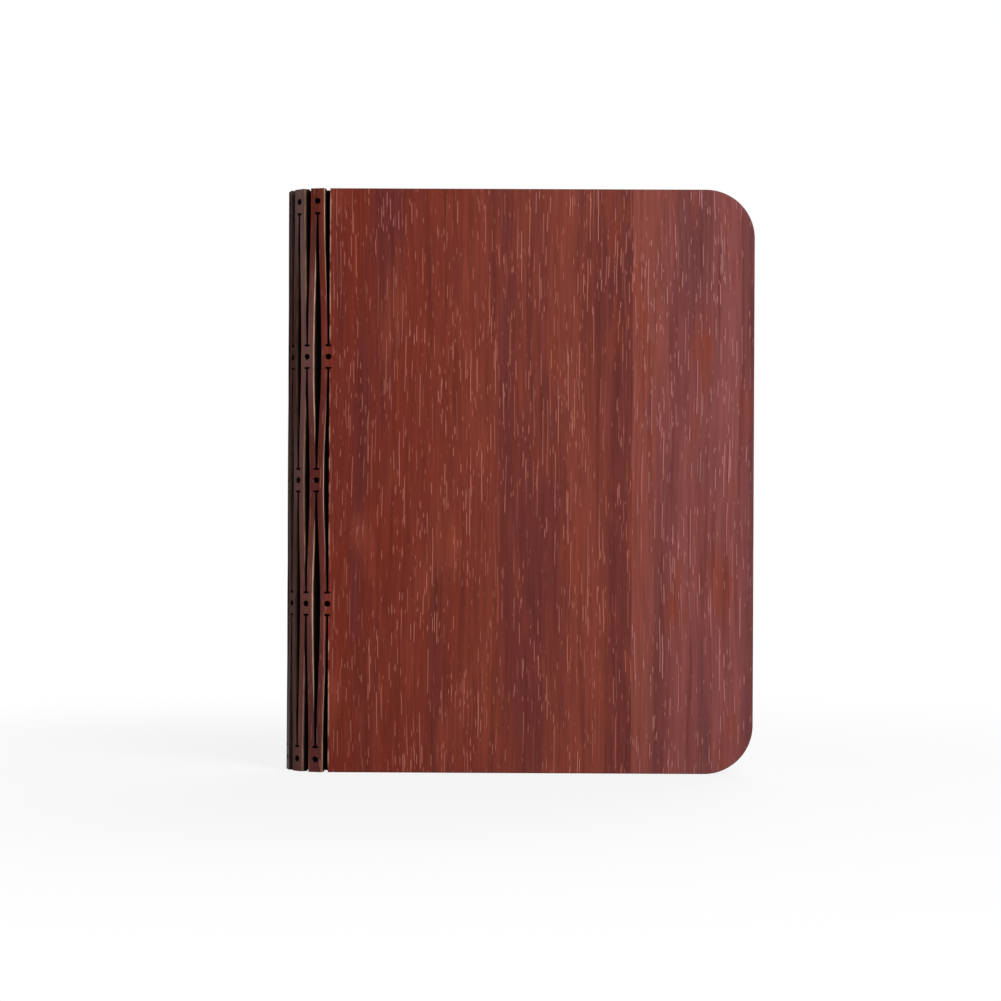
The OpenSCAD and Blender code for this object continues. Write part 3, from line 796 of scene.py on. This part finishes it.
def spread(x, z, edge):
    """Share of the valley's spread that a sheet keeps at x and z: 1 at the valley, 0 at the glued hems."""
    reach_in, reach, reach_out = LEAF_IN - HINGE_X, x - HINGE_X, edge - HEM - HINGE_X
    straight = max(reach_in / reach * (reach_out - reach) / (reach_out - reach_in), 0)
    from_hem = min(z - LEAF_LOW, LEAF_HIGH - z) - HEM
    held = 1 - float(smooth(from_hem / HEM_FADE))
    held *= float(smooth((x - LEAF_IN) / VALLEY_OPEN))
    return straight * (1 - held)


def sheet_line(number, flap, z):
    """One sheet of a pleat at height z, from the valley to its fore-edge: each point's x, its distance
    from the middle of the leaf that the sheet belongs to, and its weight towards the other body."""
    edge = leaf_edge(z)
    end = min(LEAF_IN + GLUE_FLAP, edge) if flap else edge
    line = []
    for i in range(SHEET_COLUMNS + 1):
        x = LEAF_IN + (end - LEAF_IN) * (i / SHEET_COLUMNS) ** COLUMN_CROWDING
        kept = spread(x, z, edge)
        if flap:
            line.append((x, (LEAF_SLOT + PAPER_T) / 2, 0.0))
        elif number in (0, LEAVES):
            line.append((x, kept * (LEAF_SLOT / 2 - 2 * PAPER_T) + PAPER_T / 2, kept))
        else:
            line.append((x, kept * (LEAF_SLOT / 2 - PAPER_T) + PAPER_T / 2, kept / 2))
    return line


def pleat(number):
    """Rear sheet of one leaf and front sheet of the next, joined in the valley beside the core.
    The first and last pleats are glued to the covers' endpapers instead of to a leaf."""
    centre = (number - (LEAVES + 1) / 2) * LEAF_SLOT
    rings, weights = [], []
    for z in leaf_rows():
        rear = sheet_line(number, number == 0, z)[::-1]
        front = sheet_line(number, number == LEAVES, z)
        path = [(x, centre + offset) for x, offset, _ in rear]
        path += [(x, centre + LEAF_SLOT - offset) for x, offset, _ in front]
        path = np.array(path)
        shares = [share for *_, share in rear] + [1 - share for *_, share in front]
        towards = np.array([SHEET_HALF] * len(rear) + [-SHEET_HALF] * len(front))
        towards = np.stack([np.zeros(len(path)), towards], -1)
        outer, inner = path - towards, path + towards
        inner[:, 0] = np.maximum(inner[:, 0], LEAF_IN + FOLD_T)
        rings.append([(x, y, z) for x, y in [*outer, *inner[::-1]]])
        weights += shares + shares[::-1]
    faces, _ = loft(rings)
    name = f"leaf_pleat_{number + 1:02d}"
    piece = make_mesh(name, [p for r in rings for p in r], faces, [PAPER])
    bend(piece)
    if number:
        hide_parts(f"leaf_{number:02d}")
    return piece


for number in range(LEAVES + 1):
    pleat(number)

# ---- Foam pads at the ends of the cell ----

PAD_SIDES = 56
PAD_ROWS = 6
PAD_HOLE_AT = 2 * MM
PAD_HOLE_R = 0.8 * MM
PAD_SQUEEZE = 0.25 * MM
PAD_ROUND = 0.5 * MM
# Angles round the rim, and its height as a share of the pad's
PAD_RIM = (0.9, 0.45, 0, -0.45, -0.9)
PAD_RIM_HIGH = 0.75


def pad_profile(thick):
    """Closed profile of a pad: share of the way from its hole to its rim, outward step, and height."""
    half = thick / 2
    shares = [i / PAD_ROWS for i in range(PAD_ROWS + 1)]
    top = [(t, -PAD_ROUND if t == 1 else 0.0, half - PAD_SQUEEZE * (2 * t - 1) ** 4) for t in shares]
    rim = [(1, PAD_ROUND * (math.cos(a) - 1), half * PAD_RIM_HIGH * math.sin(a)) for a in PAD_RIM]
    return top + rim + [(t, step, -height) for t, step, height in reversed(top)]


def foam_pad(name, low, high):
    """Ring of foam between low and high on the spine's axis, squeezed by the cell."""
    middle = (low + high) / 2
    rim_r = (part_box("battery_pads")[1].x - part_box("battery_pads")[0].x) / 2
    rings = []
    turns = [2 * math.pi * i / PAD_SIDES for i in range(PAD_SIDES)]
    for t, step, height in pad_profile(high - low):
        radius = PAD_HOLE_R + (rim_r - PAD_HOLE_R) * t + step
        x, y, z = SPINE_X + PAD_HOLE_AT * (1 - t), PAD_HOLE_AT * (1 - t), middle + height
        rings.append([(x + radius * math.cos(a), y + radius * math.sin(a), z) for a in turns])
    faces, _ = loft(rings + rings[:1], closed_ends=False)
    count = len(rings) * PAD_SIDES
    faces = [tuple(i % count for i in face) for face in faces]
    piece = make_mesh(name, [p for ring in rings for p in ring], faces, [FOAM], shade_smooth=True)
    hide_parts("battery_pads")
    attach(piece, "core")


pads_low, pads_high = (corner.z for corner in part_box("battery_pads"))
cell_low, cell_high = (corner.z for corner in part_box("battery_cell"))
foam_pad("battery_pad_bottom", pads_low, cell_low)
foam_pad("battery_pad_top", cell_high, pads_high)

# ---- Screws of the core ----

SCREW_SIDES = 32
HEAD_R = 1.7 * MM
HEAD_H = 1.2 * MM
SHANK_R = 0.8 * MM
SHANK_L = 7 * MM
POINT_L = 0.8 * MM
THREAD_PITCH = 0.6 * MM
THREAD_H = 0.16 * MM
THREAD_ROWS = 4
RECESS_REACH = 0.95 * MM
RECESS_HALF = 0.24 * MM
RECESS_DEEP = 0.6 * MM
# Width at the point and at the recess's bottom, as shares of what they narrow from
POINT_SHARE = 0.2
RECESS_SHARE = 0.6
# Heights and radii of the head's side, as shares of its own
HEAD_PROFILE = ((0, 0.92), (0.2, 1), (0.55, 1), (0.85, 0.93), (1, 0.75))
# The end screws' posts lie this far behind the spine's axis, and the board's screws at these heights
POST_BACK = 6.7 * MM
BOARD_SCREWS = (20.8 * MM, 36.8 * MM)


def thread(turn, z):
    """Radius of the screw's thread, a ridge that climbs one pitch in each turn."""
    place = (z / THREAD_PITCH - turn / (2 * math.pi)) % 1
    return SHANK_R - THREAD_H * abs(2 * place - 1)


def cross(turn):
    """Radius of the driver's cross recess."""
    tiny = 1e-9
    across, up = abs(math.cos(turn)) + tiny, abs(math.sin(turn)) + tiny
    long_arm = min(RECESS_REACH / across, RECESS_HALF / up)
    return max(long_arm, min(RECESS_HALF / across, RECESS_REACH / up))


def screw_rings():
    """Rings of a screw along Z, from its point to the bottom of its recess, with its seat at 0."""
    rows = [(-SHANK_L, lambda turn: POINT_SHARE * SHANK_R)]
    steps = round((SHANK_L - POINT_L) / THREAD_PITCH * THREAD_ROWS)
    for i in range(steps + 1):
        z = (SHANK_L - POINT_L) * (i / steps - 1)
        rows.append((z, lambda turn, z=z: thread(turn, z)))
    for z, share in HEAD_PROFILE:
        rows.append((HEAD_H * z, lambda turn, share=share: HEAD_R * share))
    rows.append((HEAD_H, cross))
    rows.append((HEAD_H - RECESS_DEEP, lambda turn: RECESS_SHARE * cross(turn)))
    turns = [-2 * math.pi * i / SCREW_SIDES for i in range(SCREW_SIDES)]
    rings = []
    for z, radius in rows:
        rings.append([(radius(a) * math.cos(a), radius(a) * math.sin(a), z) for a in turns])
    return rings


def core_screws():
    """Two screws in each end cap and two in the control board."""
    low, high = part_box("core_screws")
    seats = [((high.x - HEAD_H, 0, z), (1, 0, 0)) for z in BOARD_SCREWS]
    for side in (-1, 1):
        x, y = SPINE_X - POST_BACK, side * (high.y - HEAD_R)
        seats += [((x, y, high.z - HEAD_H), (0, 0, 1)), ((x, y, low.z + HEAD_H), (0, 0, -1))]
    rings = screw_rings()
    ring_faces, _ = loft(rings)
    points, faces = [], []
    for seat, direction in seats:
        turned = Vector(direction).to_track_quat("Z", "Y")
        faces += [tuple(len(points) + i for i in face) for face in ring_faces]
        points += [Vector(seat) + turned @ Vector(p) for ring in rings for p in ring]
    piece = make_mesh("core_screw_set", points, faces, [STEEL])
    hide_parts("core_screws")
    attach(piece, "core")


core_screws()

# ---- Materials of the CAD nodes that stay ----

CORE_SHELL = moulded("core_shell", rgb(236, 235, 230), 0.5)
DIFFUSER = moulded("diffuser_plastic", rgb(244, 242, 234), 0.4, Subsurface_Weight=0.25)
CARRIER = brushed("carrier_metal", (0.78, 0.79, 0.80), 0.4)
LIGHT_BOARD = moulded("light_board", rgb(240, 240, 236), 0.35)
LIGHT_CHIP = moulded("light_chip", rgb(246, 224, 120), 0.25)
LEAD_RED = moulded("lead_red", rgb(178, 24, 20), 0.4)
LEAD_BLACK = moulded("lead_black", rgb(28, 27, 27), 0.45)
CELL = moulded("cell_sleeve", rgb(44, 92, 140), 0.3)
CIRCUIT = moulded("circuit_board", rgb(20, 78, 50), 0.35)
COMPONENT = moulded("component", rgb(26, 26, 28), 0.5)
LIGHT_PIPE = moulded(
    "light_pipe", rgb(236, 242, 238), 0.1, contrast=0.02, Transmission_Weight=0.85, IOR=1.49
)

NODE_MATERIALS = {
    "front_endpaper": PAPER, "back_endpaper": PAPER,
    "core_tray": CORE_SHELL, "top_end_cap": CORE_SHELL, "bottom_end_cap": CORE_SHELL,
    "diffuser": DIFFUSER,
    "led_carrier": CARRIER, "led_board": LIGHT_BOARD, "led_chips": LIGHT_CHIP,
    "led_leads": LEAD_RED, "battery_leads": LEAD_BLACK, "battery_cell": CELL,
    "control_board": CIRCUIT, "board_components": COMPONENT, "hall_sensor": COMPONENT,
    "usb_socket": STEEL, "light_pipe": LIGHT_PIPE,
    "front_magnets": STEEL, "back_magnets": STEEL, "switch_magnet": STEEL,
}
for name, material in NODE_MATERIALS.items():
    mesh = frame["nodes"][name].data
    mesh.materials.clear()
    mesh.materials.append(material)

# ---- Floor, light and camera ----

# Light that the white surroundings give to the object, apart from what its gloss sees
AMBIENT = 0.2
# What gloss sees: the dim room between the white walls, and the floor
ROOM = 0.05
FLOOR_IN_GLOSS = 0.3
WALLS_FORWARD = 0.36
WALL_START = 0.25
WALL_FULL = 0.6
FLOOR_HALF = 6.0
# From here to here the floor's glow grows, so that the shadow shows at the object's foot
GLOW_START = 0.1
GLOW_FULL = 0.45
GLOW_LEAST = 0.82


def background_rays(g):
    """1 for the rays that see the white background, which are the camera's, those off gloss and those
    through glass, and 1 for those off gloss alone."""
    path = g.tree.nodes.new("ShaderNodeLightPath")
    reflected = g.math("MAXIMUM", path.outputs["Is Glossy Ray"], path.outputs["Is Transmission Ray"])
    return g.math("MAXIMUM", path.outputs["Is Camera Ray"], reflected), path.outputs["Is Glossy Ray"]


def floor():
    """Pale floor that glows white to the eye, but keeps the object's shadow close to it."""
    corners = [(x * FLOOR_HALF, y * FLOOR_HALF, 0) for x, y in ((-1, -1), (1, -1), (1, 1), (-1, 1))]
    piece = make_mesh("floor", corners, [(0, 1, 2, 3)], [])
    g = Graph("floor_white")
    rays, glossy = background_rays(g)
    place = g.place()
    away = g.node("ShaderNodeVectorMath", {0: place}, operation="LENGTH", output="Value")
    seen = g.math("MULTIPLY", rays, g.span(away, GLOW_START, GLOW_FULL, GLOW_LEAST, 1.0))
    strength = g.math("MULTIPLY_ADD", glossy, FLOOR_IN_GLOSS - 1, 1.0)
    glow = g.node("ShaderNodeEmission", {"Color": (1, 1, 1), "Strength": strength})
    clouds = g.noise(place, detail=2, scale=3)
    g.finish(g.mix(clouds, (0.84, 0.84, 0.84), (0.86, 0.86, 0.86)), 0.8)
    both = g.node("ShaderNodeMixShader", {0: seen, 1: g.shader.outputs[0], 2: glow})
    g.feed(g.tree.nodes["Material Output"].inputs["Surface"], both)
    piece.data.materials.append(g.material)


def world():
    """White to the camera and through glass. Gloss sees white walls at both sides of a dim room."""
    made = bpy.data.worlds.new("studio")
    g = Graph("studio", made)
    rays, glossy = background_rays(g)
    x, y, _ = g.apart(g.node("ShaderNodeTexCoord", output="Generated"))
    y = g.math("ADD", y, WALLS_FORWARD)
    sideways = g.math("SUBTRACT", g.math("ABSOLUTE", x), g.math("ABSOLUTE", y))
    walls = g.span(sideways, WALL_START, WALL_FULL, ROOM, 1.0)
    others = g.math("SUBTRACT", 1.0, glossy)
    seen = g.math("MULTIPLY", others, g.math("MAXIMUM", rays, AMBIENT))
    g.feed(g.shader.inputs["Strength"], g.math("MULTIPLY_ADD", glossy, walls, seen))
    g.feed(g.shader.inputs["Color"], (1, 1, 1))
    bpy.context.scene.world = made


def area_light(name, azimuth, elevation, distance, size, power):
    """Soft square lamp aimed at the lamp's middle. Azimuth 0 is in front, 90 is beyond the fore-edge."""
    data = bpy.data.lights.new(name, "AREA")
    data.size = size
    data.energy = power
    lamp = bpy.data.objects.new(name, data)
    a, e = math.radians(azimuth), math.radians(elevation)
    direction = Vector((math.sin(a) * math.cos(e), -math.cos(a) * math.cos(e), math.sin(e)))
    lamp.location = Vector((0, 0, HEIGHT / 2)) + direction * distance
    lamp.rotation_euler = direction.to_track_quat("Z", "Y").to_euler()
    bpy.context.scene.collection.objects.link(lamp)


area_light("key", azimuth=38, elevation=30, distance=1.6, size=0.9, power=23)
area_light("fill", azimuth=-75, elevation=20, distance=1.8, size=1.0, power=2.5)
area_light("rear", azimuth=160, elevation=35, distance=1.8, size=1.0, power=12)
floor()
world()

# The camera stands a metre in front, as fitted to the photograph's edges and holes. Lengths are in
# metres, the focal length is in the photograph's pixels, and the sensor's width is in millimetres.
PHOTO_WIDTH = 1001
SENSOR = 36.0
CAMERA_DISTANCE = 1.0
CAMERA_X = -1.62 * MM
CAMERA_Z = 100.31 * MM
FOCAL_PIXELS = 2676.4
CAMERA_TURN = math.radians(-0.306)
CAMERA_ROLL = math.radians(0.257)


def camera():
    """The photograph's camera."""
    data = bpy.data.cameras.new("camera")
    data.sensor_width = SENSOR
    data.lens = SENSOR * FOCAL_PIXELS / PHOTO_WIDTH
    data.clip_start, data.clip_end = 0.05, 50
    made = bpy.data.objects.new("camera", data)
    made.location = (CAMERA_X, -CAMERA_DISTANCE, CAMERA_Z)
    forward = Vector((math.sin(CAMERA_TURN), math.cos(CAMERA_TURN), 0))
    made.rotation_mode = "QUATERNION"
    made.rotation_quaternion = forward.to_track_quat("-Z", "Y") @ Quaternion((0, 0, 1), CAMERA_ROLL)
    bpy.context.scene.collection.objects.link(made)
    bpy.context.scene.camera = made


camera()
bpy.context.scene.view_settings.view_transform = "Standard"
